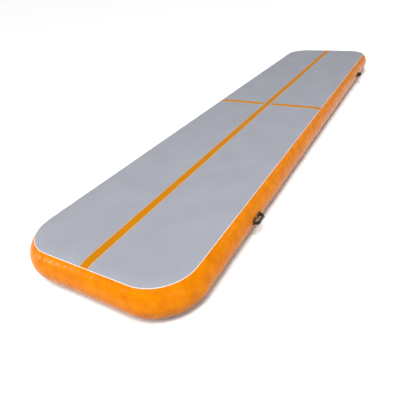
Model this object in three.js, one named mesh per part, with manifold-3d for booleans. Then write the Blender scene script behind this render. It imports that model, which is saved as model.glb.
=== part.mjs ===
// Inflatable air track mat: drop-stitch cushion, side wall strips, carry handles and air valve.
// Millimetres, +Z up, +Y along the mat, origin on the floor under the middle of the mat.
import * as THREE from 'three';
import { mergeVertices } from 'three/addons/utils/BufferGeometryUtils.js';
import Module from 'manifold-3d';

const wasm = await Module();
wasm.setup();

// ---------- driving dimensions ----------
const LENGTH = 4500;
const WIDTH = 1000;
const HEIGHT = 200;
const CORNER_RADIUS = 255; // of the outline at its widest, half way up the wall
const SKIN = 1.2; // thickness of the coated fabric
const GAP = 0.3; // glue line between two layers

const BULGE = 45; // how far the inflated wall stands out past the edge of the sheets
const SHOULDER = 55; // width of the strip where a sheet rounds down to its edge
const SHOULDER_DROP = 10;
const LAP = 25; // how far the wall runs in under the sheets

const STRIPE_WIDTH = 50;
const CROSS_WIDTH = 50;
const CROSS_Y = 10; // the cross line lies just past half way
const STRIPE_THICKNESS = 0.5;

const SPLICE_Y = 1830; // where the side strips meet the strips that wrap the ends
const SPLICE_WIDTH = 60;
const SPLICE_THICKNESS = 0.8;
const SPLICE_ANGLE = 48; // how far it runs up and down the round, in degrees

const TAPE_THICKNESS = 0.75;
const TAPE_REACH = 46; // how far the seam tape runs in along the sheet
const TAPE_DROP = 22; // and down the wall's round, in degrees

const YARN_ROWS = 7;
const YARN_PITCH = 130; // from one row to the next
const YARN_STEP = 140; // from one stitch to the next along a row
const YARN_STITCHES = 29;
const YARN_SIZE = 3;

const HANDLE_Y = 1465; // from the middle of the mat to the middle of a handle
const HANDLE_AXIS_X = WIDTH / 2 + 12; // the line the strap bends about
const HANDLE_LEG = 43; // from the middle of the handle to the middle of a leg
const HANDLE_OUT = 16; // from that line out to the middle of the grip
const STRAP_WIDTH = 19; // 38 mm webbing, folded double
const STRAP_THICKNESS = 2.7;
const STRAP_TOP = 1.5; // gap between the strap's end and the line it bends about
const GRIP_LENGTH = 60;
const GRIP_TALL = 25;
const GRIP_DEEP = 14;
const PATCH_WIDTH = 56;
const PATCH_SHIFT = -6; // a patch reaches further in than out from the middle of its leg
const PATCH_ANGLE = 18; // half the arc of the wall that a handle patch covers, in degrees
const PATCH_THICKNESS = 1;
const FOOT_START = 20; // the sewn end of the strap, from here to its leg
const FOOT_ANGLE = 5; // half the arc that it covers, in degrees
const FOOT_THICKNESS = 1.6;

const VALVE_BORE = 15;
const VALVE_BARREL = 20;
const VALVE_COLLAR = 22;
const VALVE_FLANGE = 30;
const VALVE_HOLE = 24;

// ---------- materials ----------
const paint = (color, roughness, metalness = 0) =>
  new THREE.MeshStandardMaterial({ color, roughness, metalness });
const GREY_PVC = () => paint(0xb4b3bc, 0.45);
const BASE_PVC = () => paint(0x8d8d94, 0.6);
const ORANGE_PVC = () => paint(0xe08a12, 0.3);
const TAPE = () => paint(0xd9d6cf, 0.6);
const YARN = () => paint(0xe8e6e0, 0.9);
const WEBBING = () => paint(0x1c1b19, 0.8);
const RUBBER = () => paint(0x1f201e, 0.55);
const VALVE_PLASTIC = () => paint(0x2a2b2d, 0.35);
const STEEL = () => paint(0xb9bcc0, 0.3, 1);

const mat = new THREE.Group();
const add = (name, geometry, material) => {
  const mesh = new THREE.Mesh(geometry, material);
  mesh.name = name;
  mat.add(mesh);
  return mesh;
};

// ---------- solids from rings ----------
// A geometry from points and triangles, turned so that its faces point out.
function solid(points, triangles) {
  const p = points.map((q) => new THREE.Vector3(...q));
  const volume = triangles.reduce((sum, [a, b, c]) => sum + p[a].dot(p[b].clone().cross(p[c])), 0);
  const facing = volume > 0 ? triangles : triangles.map(([a, b, c]) => [a, c, b]);
  const geometry = new THREE.BufferGeometry();
  geometry.setAttribute('position', new THREE.Float32BufferAttribute(points.flat(), 3));
  geometry.setIndex(facing.flat());
  geometry.computeVertexNormals();
  return geometry;
}

const band = (a, b, i, j) => [
  [a + i, a + j, b + j],
  [a + i, b + j, b + i],
];
// Triangles that fill a flat outline, each wound the way the outline runs.
function flatFace(outline) {
  const at = outline.map(([x, y]) => new THREE.Vector2(x, y));
  const way = Math.sign(THREE.ShapeUtils.area(at));
  return THREE.ShapeUtils.triangulateShape(at, []).map(([a, b, c]) =>
    Math.sign(THREE.ShapeUtils.area([at[a], at[b], at[c]])) === way ? [a, b, c] : [a, c, b]);
}

// Sweeps a closed section of [inset, z] points past a row of outline stations.
function sweep(stations, section, closed = false) {
  const n = section.length;
  const points = stations.flatMap((s) => section.map(([inset, z]) => [...s(inset), z]));
  const triangles = [];
  const spans = closed ? stations.length : stations.length - 1;
  for (let k = 0; k < spans; k++) {
    const next = (k + 1) % stations.length;
    for (let i = 0; i < n; i++) triangles.push(...band(k * n, next * n, i, (i + 1) % n));
  }
  if (!closed) {
    const last = (stations.length - 1) * n;
    for (const [a, b, c] of flatFace(section)) triangles.push([a, c, b], [last + a, last + b, last + c]);
  }
  return solid(points, triangles);
}

// A dish: rings along a path of [inset, z] points, closed by a flat sheet at each end of the path.
function dish(stations, path) {
  const n = stations.length;
  const points = path.flatMap(([inset, z]) => stations.map((s) => [...s(inset), z]));
  const triangles = [];
  for (let k = 0; k < path.length - 1; k++) {
    for (let i = 0; i < n; i++) triangles.push(...band(k * n, (k + 1) * n, i, (i + 1) % n));
  }
  const last = (path.length - 1) * n;
  for (let i = 1; i < n - 1; i++) triangles.push([0, i + 1, i], [last, last + i, last + i + 1]);
  return solid(points, triangles);
}

// ---------- outline of the mat ----------
// A station gives the point of the outline at an inset from the widest line.
const straight = (x, y, nx, ny) => (inset) => [x + nx * inset, y + ny * inset];
function corner(sx, sy, from, steps = 8) {
  const cx = sx * (WIDTH / 2 - CORNER_RADIUS);
  const cy = sy * (LENGTH / 2 - CORNER_RADIUS);
  return Array.from({ length: steps + 1 }, (_, i) => {
    const angle = ((from + (i * 90) / steps) * Math.PI) / 180;
    return (inset) => [
      cx + (CORNER_RADIUS - inset) * Math.cos(angle),
      cy + (CORNER_RADIUS - inset) * Math.sin(angle),
    ];
  });
}
const OUTLINE = [...corner(1, 1, 0), ...corner(-1, 1, 90), ...corner(-1, -1, 180), ...corner(1, -1, 270)];
const side = (sx, y0, y1) => [straight(sx * WIDTH / 2, y0, -sx, 0), straight(sx * WIDTH / 2, y1, -sx, 0)];

// ---------- section of the mat ----------
// Height of a sheet's outer face, at a distance in from its edge.
const sheetTop = (fromEdge) => HEIGHT - SHOULDER_DROP * Math.max(0, 1 - fromEdge / SHOULDER) ** 2;
const mirrored = (path) => path.map(([inset, z]) => [inset, HEIGHT - z]);

const WALL_EDGE_Z = sheetTop(0) - SKIN - GAP;
const WALL_HALF = WALL_EDGE_Z - HEIGHT / 2;
const WALL_RADIUS = (WALL_HALF ** 2 + BULGE ** 2) / (2 * BULGE);
const WALL_ANGLE = (Math.asin(WALL_HALF / WALL_RADIUS) * 180) / Math.PI;

// The wall's round is made of flat facets. A layer on it bends at the same angles, so it lies flush.
const FACET = WALL_ANGLE / 5;
function facetCorner(index, off) {
  const angle = (index * FACET * Math.PI) / 180;
  return [
    WALL_RADIUS - (WALL_RADIUS + off) * Math.cos(angle),
    HEIGHT / 2 + (WALL_RADIUS + off) * Math.sin(angle),
  ];
}
function wallPoint(angle, off) {
  const low = Math.floor(angle / FACET);
  const [a, b] = [facetCorner(low, off), facetCorner(low + 1, off)];
  const t = angle / FACET - low;
  return [a[0] + (b[0] - a[0]) * t, a[1] + (b[1] - a[1]) * t];
}
// Points of the round from one angle above the horizontal to another, off its outer face.
function wallArc(from, to, off = 0) {
  const [low, high] = [Math.min(from, to), Math.max(from, to)];
  const angles = [low];
  for (let i = -5; i <= 5; i++) {
    if (i * FACET > low + 0.1 && i * FACET < high - 0.1) angles.push(i * FACET);
  }
  angles.push(high);
  if (from > to) angles.reverse();
  return angles.map((angle) => wallPoint(angle, off));
}
const layer = (from, to, off, thickness) => [
  ...wallArc(from, to, off + thickness),
  ...wallArc(to, from, off),
];

function wallSection() {
  const lapOut = [LAP, LAP / 2].map((e) => [BULGE + e, sheetTop(e) - SKIN - GAP]);
  const lapIn = [0, LAP / 2, LAP].map((e) => [BULGE + e, sheetTop(e) - 2 * SKIN - GAP]);
  const outer = [...lapOut, ...wallArc(WALL_ANGLE, -WALL_ANGLE), ...mirrored(lapOut).reverse()];
  const round = wallArc(-WALL_ANGLE, WALL_ANGLE, -SKIN).slice(1, -1);
  return [...outer, ...mirrored(lapIn).reverse(), ...round, ...lapIn];
}

// ---------- sheets, walls and seams ----------
function sheet(flip) {
  const steps = [SHOULDER, 40, 26, 12, 0];
  const outer = steps.map((e) => [BULGE + e, sheetTop(e)]);
  const inner = outer.map(([inset, z]) => [inset, z - SKIN]).reverse();
  const path = [...outer, ...inner];
  return dish(OUTLINE, flip ? mirrored(path) : path);
}
add('top_sheet', sheet(false), GREY_PVC());
add('bottom_sheet', sheet(true), BASE_PVC());

const endStations = (sy) => {
  const from = sy > 0 ? 0 : 180;
  const y = sy * (SPLICE_Y + GAP / 2);
  return [
    straight((sy * WIDTH) / 2, y, -sy, 0),
    ...corner(sy, sy, from),
    ...corner(-sy, sy, from + 90),
    straight((-sy * WIDTH) / 2, y, sy, 0),
  ];
};
const SIDE_END = SPLICE_Y - GAP / 2;
add('side_wall_right', sweep(side(1, -SIDE_END, SIDE_END), wallSection()), ORANGE_PVC());
add('side_wall_left', sweep(side(-1, -SIDE_END, SIDE_END), wallSection()), ORANGE_PVC());
add('end_wall_near', sweep(endStations(-1), wallSection()), ORANGE_PVC());

for (const [along, sy] of [['near', -1], ['far', 1]]) {
  for (const [across, sx] of [['right', 1], ['left', -1]]) {
    const y = sy * SPLICE_Y;
    const strip = layer(SPLICE_ANGLE, -SPLICE_ANGLE, GAP, SPLICE_THICKNESS);
    const stations = side(sx, y - SPLICE_WIDTH / 2, y + SPLICE_WIDTH / 2);
    add(`splice_strip_${along}_${across}`, sweep(stations, strip), ORANGE_PVC());
  }
}

// The tape glued inside the seam: from the sheet, over the wall's lap and down the wall.
function seamTape(flip) {
  const depth = 2 * SKIN + 2 * GAP;
  const outer = [
    [BULGE + TAPE_REACH, sheetTop(TAPE_REACH) - SKIN - GAP],
    [BULGE + LAP + 3, sheetTop(LAP + 3) - depth],
    [BULGE + 2, sheetTop(2) - depth],
    ...wallArc(WALL_ANGLE - 6, WALL_ANGLE - TAPE_DROP, -SKIN - GAP),
  ];
  const inner = outer.map(([inset, z]) => [inset + TAPE_THICKNESS / 2, z - TAPE_THICKNESS]).reverse();
  const section = [...outer, ...inner];
  return sweep(OUTLINE, flip ? mirrored(section) : section, true);
}
add('seam_tape_top', seamTape(false), TAPE());
add('seam_tape_bottom', seamTape(true), TAPE());

// ---------- marking stripes ----------
// A strip that follows the top sheet between two points of a line across it.
function stripeProfile(from, to, half) {
  const at = [from, to];
  for (const e of [12, 26, 40, SHOULDER]) at.push(half - BULGE - e, -(half - BULGE - e));
  const inside = at.filter((s) => s >= from && s <= to).sort((a, b) => a - b);
  const height = (s) => sheetTop(half - BULGE - Math.abs(s)) + GAP;
  const low = inside.map((s) => [s, height(s)]);
  const high = low.map(([s, z]) => [s, z + STRIPE_THICKNESS]).reverse();
  return [...low, ...high];
}
// Turns an outline of [u, z] points into a slab, along X or along Y.
function slab(outline, from, to, alongY) {
  const stations = [from, to].map((t) => (u) => (alongY ? [u, t] : [t, u]));
  return sweep(stations, outline);
}
const END = LENGTH / 2 - BULGE;
const EDGE = WIDTH / 2 - BULGE;
const centreLine = stripeProfile(-END, END, LENGTH / 2);
add('centre_stripe', slab(centreLine, -STRIPE_WIDTH / 2, STRIPE_WIDTH / 2, false), ORANGE_PVC());
for (const [name, from, to] of [
  ['cross_stripe_right', STRIPE_WIDTH / 2 + GAP, EDGE],
  ['cross_stripe_left', -EDGE, -STRIPE_WIDTH / 2 - GAP],
]) {
  const outline = stripeProfile(from, to, WIDTH / 2);
  add(name, slab(outline, CROSS_Y - CROSS_WIDTH / 2, CROSS_Y + CROSS_WIDTH / 2, true), ORANGE_PVC());
}

// ---------- drop-stitch yarns that tie the two sheets together ----------
function yarnRow(x) {
  const low = SKIN + GAP;
  const high = HEIGHT - SKIN - GAP;
  const start = (-YARN_STEP * (YARN_STITCHES - 1)) / 2;
  const under = [];
  const over = [];
  for (let i = 0; i < YARN_STITCHES; i++) {
    const y = start + i * YARN_STEP;
    const up = i % 2 === 1;
    over.push([y, up ? high : low + YARN_SIZE * 2]);
    under.push([y, up ? high - YARN_SIZE * 2 : low]);
  }
  return slab([...under, ...over.reverse()], x - YARN_SIZE / 2, x + YARN_SIZE / 2, false);
}
for (let row = 0; row < YARN_ROWS; row++) {
  add(`drop_stitch_row_${row + 1}`, yarnRow((row - (YARN_ROWS - 1) / 2) * YARN_PITCH), YARN());
}

// ---------- booleans ----------
function toManifold(geometry) {
  const bare = geometry.clone();
  bare.deleteAttribute('normal');
  bare.deleteAttribute('uv');
  const merged = mergeVertices(bare, 1e-4);
  return new wasm.Manifold(new wasm.Mesh({
    numProp: 3,
    vertProperties: new Float32Array(merged.attributes.position.array),
    triVerts: new Uint32Array(merged.index.array),
  }));
}
function fromManifold(body) {
  const mesh = body.getMesh();
  const geometry = new THREE.BufferGeometry();
  geometry.setAttribute('position', new THREE.BufferAttribute(new Float32Array(mesh.vertProperties), 3));
  geometry.setIndex(new THREE.BufferAttribute(new Uint32Array(mesh.triVerts), 1));
  geometry.computeVertexNormals();
  return geometry;
}
const cut = (from, ...tools) =>
  fromManifold(tools.reduce((body, tool) => body.subtract(toManifold(tool)), toManifold(from)));
const join = (first, ...others) =>
  fromManifold(others.reduce((body, other) => body.add(toManifold(other)), toManifold(first)));

// ---------- carry handles ----------
// The moving webbing seen from above: it turns out from the wall and runs through the grip.
// Points are [distance along the mat from the handle's middle, distance out from the hinge line].
function strapOutline() {
  const leg = HANDLE_LEG - STRAP_THICKNESS / 2 - GAP / 2;
  const turn = new THREE.CubicBezierCurve(
    new THREE.Vector2(leg, STRAP_TOP),
    new THREE.Vector2(leg, HANDLE_OUT * 0.7),
    new THREE.Vector2(leg - 2, HANDLE_OUT),
    new THREE.Vector2(GRIP_LENGTH / 2, HANDLE_OUT),
  );
  const steps = 8;
  const outer = [];
  const inner = [];
  for (let i = 0; i <= steps; i++) {
    const at = turn.getPoint(i / steps);
    const along = turn.getTangent(i / steps);
    const normal = new THREE.Vector2(along.y, -along.x).multiplyScalar(STRAP_THICKNESS / 2);
    outer.push([at.x + normal.x, at.y + normal.y]);
    inner.push([at.x - normal.x, at.y - normal.y]);
  }
  const mirror = (points) => points.map(([u, v]) => [-u, v]);
  return [...outer, ...mirror(outer).reverse(), ...mirror(inner), ...inner.reverse()];
}

// The end of the strap that stays with the mat: a foot sewn on its patch, and the stub that stands
// out from it beside the leg.
function foot(sx, y, s) {
  const face = GAP + PATCH_THICKNESS + GAP;
  const stubY = y + s * (HANDLE_LEG + STRAP_THICKNESS / 2 + GAP / 2);
  const ends = [y + s * FOOT_START, stubY + (s * STRAP_THICKNESS) / 2].sort((a, b) => a - b);
  const sole = sweep(side(sx, ...ends), layer(FOOT_ANGLE, -FOOT_ANGLE, face, FOOT_THICKNESS));
  const from = WIDTH / 2 + face + FOOT_THICKNESS / 2;
  const to = HANDLE_AXIS_X - STRAP_TOP;
  const stub = new THREE.BoxGeometry(to - from, STRAP_THICKNESS, STRAP_WIDTH);
  stub.translate((sx * (from + to)) / 2, stubY, HEIGHT / 2);
  return join(sole, stub);
}

function placeHandle(along, across, sx, y) {
  const name = (part) => `handle_${along}_${across}_${part}`;
  for (const [end, s] of [['a', -1], ['b', 1]]) {
    const under = y + s * (HANDLE_LEG + PATCH_SHIFT);
    const patch = side(sx, under - PATCH_WIDTH / 2, under + PATCH_WIDTH / 2);
    const patchLayer = layer(PATCH_ANGLE, -PATCH_ANGLE, GAP, PATCH_THICKNESS);
    add(name(`patch_${end}`), sweep(patch, patchLayer), ORANGE_PVC());
    add(name(`anchor_${end}`), foot(sx, y, s), WEBBING());
  }
  const outline = strapOutline().map(([u, v]) => new THREE.Vector2(sx * (HANDLE_AXIS_X + v), y + u));
  const strap = new THREE.ExtrudeGeometry(new THREE.Shape(outline), {
    depth: STRAP_WIDTH,
    bevelEnabled: false,
  });
  strap.translate(0, 0, (HEIGHT - STRAP_WIDTH) / 2);
  add(name('strap'), strap, WEBBING());
  add(name('grip'), grip(sx * (HANDLE_AXIS_X + HANDLE_OUT), y), RUBBER());
}

// A rubber sleeve with a flat slot for the strap, lying along Y.
function grip(x, y) {
  const oval = new THREE.Shape();
  oval.absellipse(0, 0, GRIP_TALL / 2, GRIP_DEEP / 2, 0, Math.PI * 2);
  const slot = new THREE.Path();
  const high = STRAP_WIDTH / 2 + 0.6;
  const wide = STRAP_THICKNESS / 2 + 0.5;
  slot.moveTo(-high, -wide).lineTo(-high, wide).lineTo(high, wide).lineTo(high, -wide).closePath();
  oval.holes.push(slot);
  const geometry = new THREE.ExtrudeGeometry(oval, {
    depth: GRIP_LENGTH,
    bevelEnabled: false,
    curveSegments: 12,
  });
  const turned = new THREE.Matrix4().makeBasis(
    new THREE.Vector3(0, 0, 1),
    new THREE.Vector3(1, 0, 0),
    new THREE.Vector3(0, 1, 0),
  );
  geometry.applyMatrix4(turned);
  geometry.translate(x, y - GRIP_LENGTH / 2, HEIGHT / 2);
  return geometry;
}
for (const [across, sx] of [['right', 1], ['left', -1]]) {
  placeHandle('near', across, sx, -HANDLE_Y);
  placeHandle('far', across, sx, HANDLE_Y);
}

// ---------- air valve, in the middle of the far end wall ----------
// Turned about the valve's axis: points are [radius, distance in front of the wall].
const WALL_FRONT = LENGTH / 2;
function turned(profile, segments = 36) {
  const geometry = new THREE.LatheGeometry(profile.map(([r, d]) => new THREE.Vector2(r, d)), segments);
  geometry.translate(0, WALL_FRONT, HEIGHT / 2);
  return geometry;
}
const ring = (r0, r1, d0, d1, segments) =>
  turned([[r0, d0], [r1, d0], [r1, d1], [r0, d1], [r0, d0]], segments);
const disc = (r, d0, d1, segments) => turned([[0, d0], [r, d0], [r, d1], [0, d1]], segments);
function bar(width, depth, height, d, z = 0) {
  const geometry = new THREE.BoxGeometry(width, depth, height);
  geometry.translate(0, WALL_FRONT + d + depth / 2, HEIGHT / 2 + z);
  return geometry;
}

add('end_wall_far', cut(sweep(endStations(1), wallSection()), disc(VALVE_HOLE, -80, 20)), ORANGE_PVC());

const PAD_FRONT = 2.5;
const PAD_RADIUS = 34;
const behindPad = new THREE.CylinderGeometry(WALL_RADIUS + GAP, WALL_RADIUS + GAP, 2 * PAD_RADIUS + 20, 96);
behindPad.rotateZ(Math.PI / 2);
behindPad.translate(0, WALL_FRONT - WALL_RADIUS, HEIGHT / 2);
add('valve_pad', cut(ring(VALVE_HOLE, PAD_RADIUS, -14, PAD_FRONT), behindPad), ORANGE_PVC());

const FLANGE_BACK = PAD_FRONT + GAP;
const FLANGE_FRONT = FLANGE_BACK + 3;
const COLLAR_FRONT = 16;
const BARREL_END = -42;
add('valve_body', turned([
  [VALVE_BORE, BARREL_END],
  [VALVE_BARREL, BARREL_END],
  [VALVE_BARREL, FLANGE_BACK],
  [VALVE_FLANGE, FLANGE_BACK],
  [VALVE_FLANGE, FLANGE_FRONT],
  [VALVE_COLLAR, FLANGE_FRONT],
  [VALVE_COLLAR, COLLAR_FRONT],
  [VALVE_BORE, COLLAR_FRONT],
  [VALVE_BORE, BARREL_END],
]), VALVE_PLASTIC());
const GASKET_RADIUS = 26;
const GASKET_FRONT = -4.9;
const GASKET_BACK = -6.7;
const NUT_RADIUS = 31;
const NUT_BACK = -15;
add('valve_gasket', ring(VALVE_BARREL + GAP, GASKET_RADIUS, GASKET_BACK, GASKET_FRONT), RUBBER());
add('valve_nut', ring(VALVE_BARREL + GAP, NUT_RADIUS, NUT_BACK, GASKET_BACK - GAP, 24), VALVE_PLASTIC());

const GUIDE_BACK = -26;
const GUIDE_FRONT = -20;
const STEM_RADIUS = 3;
const GUIDE_HUB = 5.5;
const GUIDE_ARM = VALVE_BORE - GUIDE_HUB;
const GUIDE_ARM_WIDTH = 2.4;
const hub = ring(STEM_RADIUS + 0.2, GUIDE_HUB, GUIDE_BACK, GUIDE_FRONT, 24);
const arms = [0, 120, 240].map((degrees) => {
  const arm = new THREE.BoxGeometry(GUIDE_ARM, GUIDE_FRONT - GUIDE_BACK, GUIDE_ARM_WIDTH);
  arm.translate(VALVE_BORE - 0.4 - GUIDE_ARM / 2, 0, 0);
  arm.rotateY((degrees * Math.PI) / 180);
  arm.translate(0, WALL_FRONT + (GUIDE_BACK + GUIDE_FRONT) / 2, HEIGHT / 2);
  return arm;
});
add('valve_stem_guide', join(hub, ...arms), VALVE_PLASTIC());

const BUTTON_BACK = -2;
const SEAL_FRONT = BARREL_END - GAP;
const SEAL_BACK = SEAL_FRONT - 2.3;
const SEAL_RADIUS = 18; // covers the bore and bears on the end of the barrel
const STEM_HEAD = 11;
const STEM_HEAD_THICKNESS = 4.5;
const BUTTON_RADIUS = 7;
const BUTTON_THICKNESS = 4;
add('valve_stem', turned([
  [0, SEAL_BACK - STEM_HEAD_THICKNESS],
  [STEM_HEAD, SEAL_BACK - STEM_HEAD_THICKNESS],
  [STEM_HEAD, SEAL_BACK - GAP],
  [STEM_RADIUS, SEAL_BACK - GAP],
  [STEM_RADIUS, BUTTON_BACK],
  [BUTTON_RADIUS, BUTTON_BACK],
  [BUTTON_RADIUS, BUTTON_BACK + BUTTON_THICKNESS],
  [0, BUTTON_BACK + BUTTON_THICKNESS],
], 24), VALVE_PLASTIC());
add('valve_seal', ring(STEM_RADIUS + GAP, SEAL_RADIUS, SEAL_BACK, SEAL_FRONT, 32), RUBBER());

// The return spring, between the guide and the button.
const SPRING_WIRE = 0.7;
const SPRING_RADIUS = 4.6;
const SPRING_TURNS = 5;
class SpringLine extends THREE.Curve {
  getPoint(t, target = new THREE.Vector3()) {
    const from = GUIDE_FRONT + GAP + SPRING_WIRE;
    const to = BUTTON_BACK - GAP - SPRING_WIRE;
    const angle = t * SPRING_TURNS * 2 * Math.PI;
    return target.set(
      SPRING_RADIUS * Math.cos(angle),
      WALL_FRONT + from + (to - from) * t,
      HEIGHT / 2 + SPRING_RADIUS * Math.sin(angle),
    );
  }
}
const wireSection = new THREE.Shape();
wireSection.absarc(0, 0, SPRING_WIRE, 0, Math.PI * 2);
add('valve_spring', new THREE.ExtrudeGeometry(wireSection, {
  steps: SPRING_TURNS * 10,
  curveSegments: 3,
  extrudePath: new SpringLine(),
}), STEEL());

// The cap turns in a ring on the end of its tether.
const CAP_RIM = 7.9;
const CAP_GROOVE = 9.2;
const CAP_HEAD = 12.6;
const CAP_TOP = 20;
const CAP_RADIUS = 27;
const CAP_NECK = 25.2; // at the bottom of the groove that the ring lies in
const CAP_PLAY = 0.4;
const CAP_CHAMFER = 1.5;
const CAP_GRIP = 42; // length of the bar across the cap that fingers turn
const CAP_GRIP_SIZE = 6;
const CAP_RING = 29;
const cup = turned([
  [0, COLLAR_FRONT + CAP_PLAY],
  [VALVE_COLLAR + CAP_PLAY, COLLAR_FRONT + CAP_PLAY],
  [VALVE_COLLAR + CAP_PLAY, CAP_RIM],
  [CAP_RADIUS, CAP_RIM],
  [CAP_RADIUS, CAP_GROOVE],
  [CAP_NECK, CAP_GROOVE],
  [CAP_NECK, CAP_HEAD],
  [CAP_RADIUS, CAP_HEAD],
  [CAP_RADIUS, CAP_TOP - CAP_CHAMFER],
  [CAP_RADIUS - CAP_CHAMFER, CAP_TOP],
  [0, CAP_TOP],
]);
const capGrip = bar(CAP_GRIP, CAP_GRIP_SIZE, CAP_GRIP_SIZE, CAP_TOP - 0.5);
add('valve_cap', join(cup, capGrip), VALVE_PLASTIC());
add('valve_cap_ring', ring(CAP_NECK + GAP, CAP_RING, CAP_GROOVE + CAP_PLAY, CAP_HEAD - CAP_PLAY), RUBBER());

// The tether: a ring under the cap, and a band that hangs down from it and comes back up to the
// cap's ring. The band's section is [distance in front of the wall, height].
const TETHER_DROP = 38;
const TETHER_HALF_WIDTH = 3;
const TETHER_RING = 25;
const TETHER_BACK = FLANGE_FRONT + GAP;
const TETHER_THICKNESS = 1.4;
const TETHER_FOLD = 2; // thickness of the band's outer run
const TETHER_FRONT = 12;
const bandLow = HEIGHT / 2 - TETHER_DROP;
const bandTop = HEIGHT / 2 - TETHER_RING + 1;
const bandEnd = HEIGHT / 2 - CAP_RING - CAP_PLAY;
const tetherBand = sweep(
  [-TETHER_HALF_WIDTH, TETHER_HALF_WIDTH].map((x) => (d) => [x, WALL_FRONT + d]),
  [
    [TETHER_BACK, bandTop],
    [TETHER_BACK, bandLow],
    [TETHER_FRONT, bandLow],
    [TETHER_FRONT, bandEnd],
    [TETHER_FRONT - TETHER_FOLD, bandEnd],
    [TETHER_FRONT - TETHER_FOLD, bandLow + TETHER_FOLD],
    [TETHER_BACK + TETHER_THICKNESS, bandLow + TETHER_FOLD],
    [TETHER_BACK + TETHER_THICKNESS, bandTop],
  ],
);
const tetherRing = ring(VALVE_COLLAR + GAP, TETHER_RING, TETHER_BACK, TETHER_BACK + TETHER_THICKNESS);
add('valve_tether', join(tetherRing, tetherBand), RUBBER());

export default mat;
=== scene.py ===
"""Visual model of an inflatable air track mat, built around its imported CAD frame.

Metres, +Z up, +Y along the mat towards the valve, +X to the right.
"""
import math

import bpy
import bmesh
import numpy as np
from mathutils import Matrix, Vector


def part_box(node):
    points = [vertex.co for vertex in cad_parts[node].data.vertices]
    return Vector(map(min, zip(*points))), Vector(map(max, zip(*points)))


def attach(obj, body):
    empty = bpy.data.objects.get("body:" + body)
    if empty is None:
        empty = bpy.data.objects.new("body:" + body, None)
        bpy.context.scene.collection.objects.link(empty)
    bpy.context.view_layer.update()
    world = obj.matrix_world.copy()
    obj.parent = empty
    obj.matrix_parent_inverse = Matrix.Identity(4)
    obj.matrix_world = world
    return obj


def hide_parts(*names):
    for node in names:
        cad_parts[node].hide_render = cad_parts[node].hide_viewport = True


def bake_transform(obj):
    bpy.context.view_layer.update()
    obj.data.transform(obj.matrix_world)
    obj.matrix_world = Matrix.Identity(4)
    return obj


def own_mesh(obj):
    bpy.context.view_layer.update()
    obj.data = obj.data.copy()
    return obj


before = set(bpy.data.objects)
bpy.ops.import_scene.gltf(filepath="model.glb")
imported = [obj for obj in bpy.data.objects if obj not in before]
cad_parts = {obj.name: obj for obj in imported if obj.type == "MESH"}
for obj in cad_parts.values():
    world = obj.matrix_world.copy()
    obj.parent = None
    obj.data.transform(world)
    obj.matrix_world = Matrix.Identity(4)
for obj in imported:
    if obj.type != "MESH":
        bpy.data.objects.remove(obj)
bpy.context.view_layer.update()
MM = 0.001
X, Y, Z = 0, 1, 2
CONTACT = 0.1 * MM  # a layer that lies on another one is clear of it by this much


def box_middle(name, axis):
    low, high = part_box(name)
    return (low[axis] + high[axis]) / 2


def box_half(name, axis):
    """Half of a CAD node's size along an axis."""
    low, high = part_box(name)
    return (high[axis] - low[axis]) / 2


# ---------- shape of the mat, from the frame ----------
EDGE_X, EDGE_Y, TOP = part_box("top_sheet")[1]
WIDE_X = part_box("side_wall_right")[1].x
WIDE_Y = -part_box("end_wall_near")[0].y
MIDDLE = TOP / 2
BULGE = WIDE_X - EDGE_X
CORNER = 255 * MM  # outline radius at the widest line
SHOULDER = 55 * MM  # a sheet rounds down over this width
DROP = 10 * MM  # and its edge is this far below its flat part
SKIN = 1.2 * MM
GLUE = 0.3 * MM  # gap between two layers that are welded or glued
WALL_HALF = TOP - DROP - SKIN - GLUE - MIDDLE
WALL_R = (WALL_HALF**2 + BULGE**2) / (2 * BULGE)
WALL_ANGLE = math.asin(WALL_HALF / WALL_R)
SPLICE_Y = box_middle("splice_strip_far_right", Y)
STATION = 4 * MM  # step of the wall strips' points along the outline

# ---------- outline: s runs once round it, anticlockwise from the near end of the right side ----------
LONG = 2 * (WIDE_Y - CORNER)
SHORT = 2 * (WIDE_X - CORNER)
TURN = CORNER * math.pi / 2
RUNS = [LONG, TURN, SHORT, TURN, LONG, TURN, SHORT, TURN]
TURNS = (1, 3, 5, 7)
STARTS = np.concatenate([[0], np.cumsum(RUNS)])
AROUND = STARTS[-1]


def station(s):
    """Points of the widest line and the outward directions there, for distances s along it."""
    s = np.asarray(s, float) % AROUND
    at = np.zeros(s.shape + (2,))
    out = np.zeros(s.shape + (2,))
    centres = [(1, 1), (-1, 1), (-1, -1), (1, -1)]
    for k, (cx, cy) in enumerate(centres):
        centre = np.array([cx * (WIDE_X - CORNER), cy * (WIDE_Y - CORNER)])
        bend = (s >= STARTS[2 * k + 1]) & (s < STARTS[2 * k + 2])
        angle = k * math.pi / 2 + (s - STARTS[2 * k + 1]) / CORNER
        way = np.stack([np.cos(angle), np.sin(angle)], -1)
        out[bend] = way[bend]
        at[bend] = (centre + CORNER * way)[bend]
        line = (s >= STARTS[2 * k]) & (s < STARTS[2 * k + 1])
        facing = np.array([math.cos(k * math.pi / 2), math.sin(k * math.pi / 2)])
        ahead = np.array([-facing[1], facing[0]])
        start = centre + CORNER * facing - RUNS[2 * k] * ahead
        out[line] = facing
        at[line] = (start + (s - STARTS[2 * k])[..., None] * ahead)[line]
    return at, out


def right_at(y):
    return y + LONG / 2


def left_at(y):
    return STARTS[4] + LONG / 2 - y


def far_at(x):
    return STARTS[2] + SHORT / 2 - x


def near_at(x):
    return STARTS[6] + SHORT / 2 + x


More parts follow.
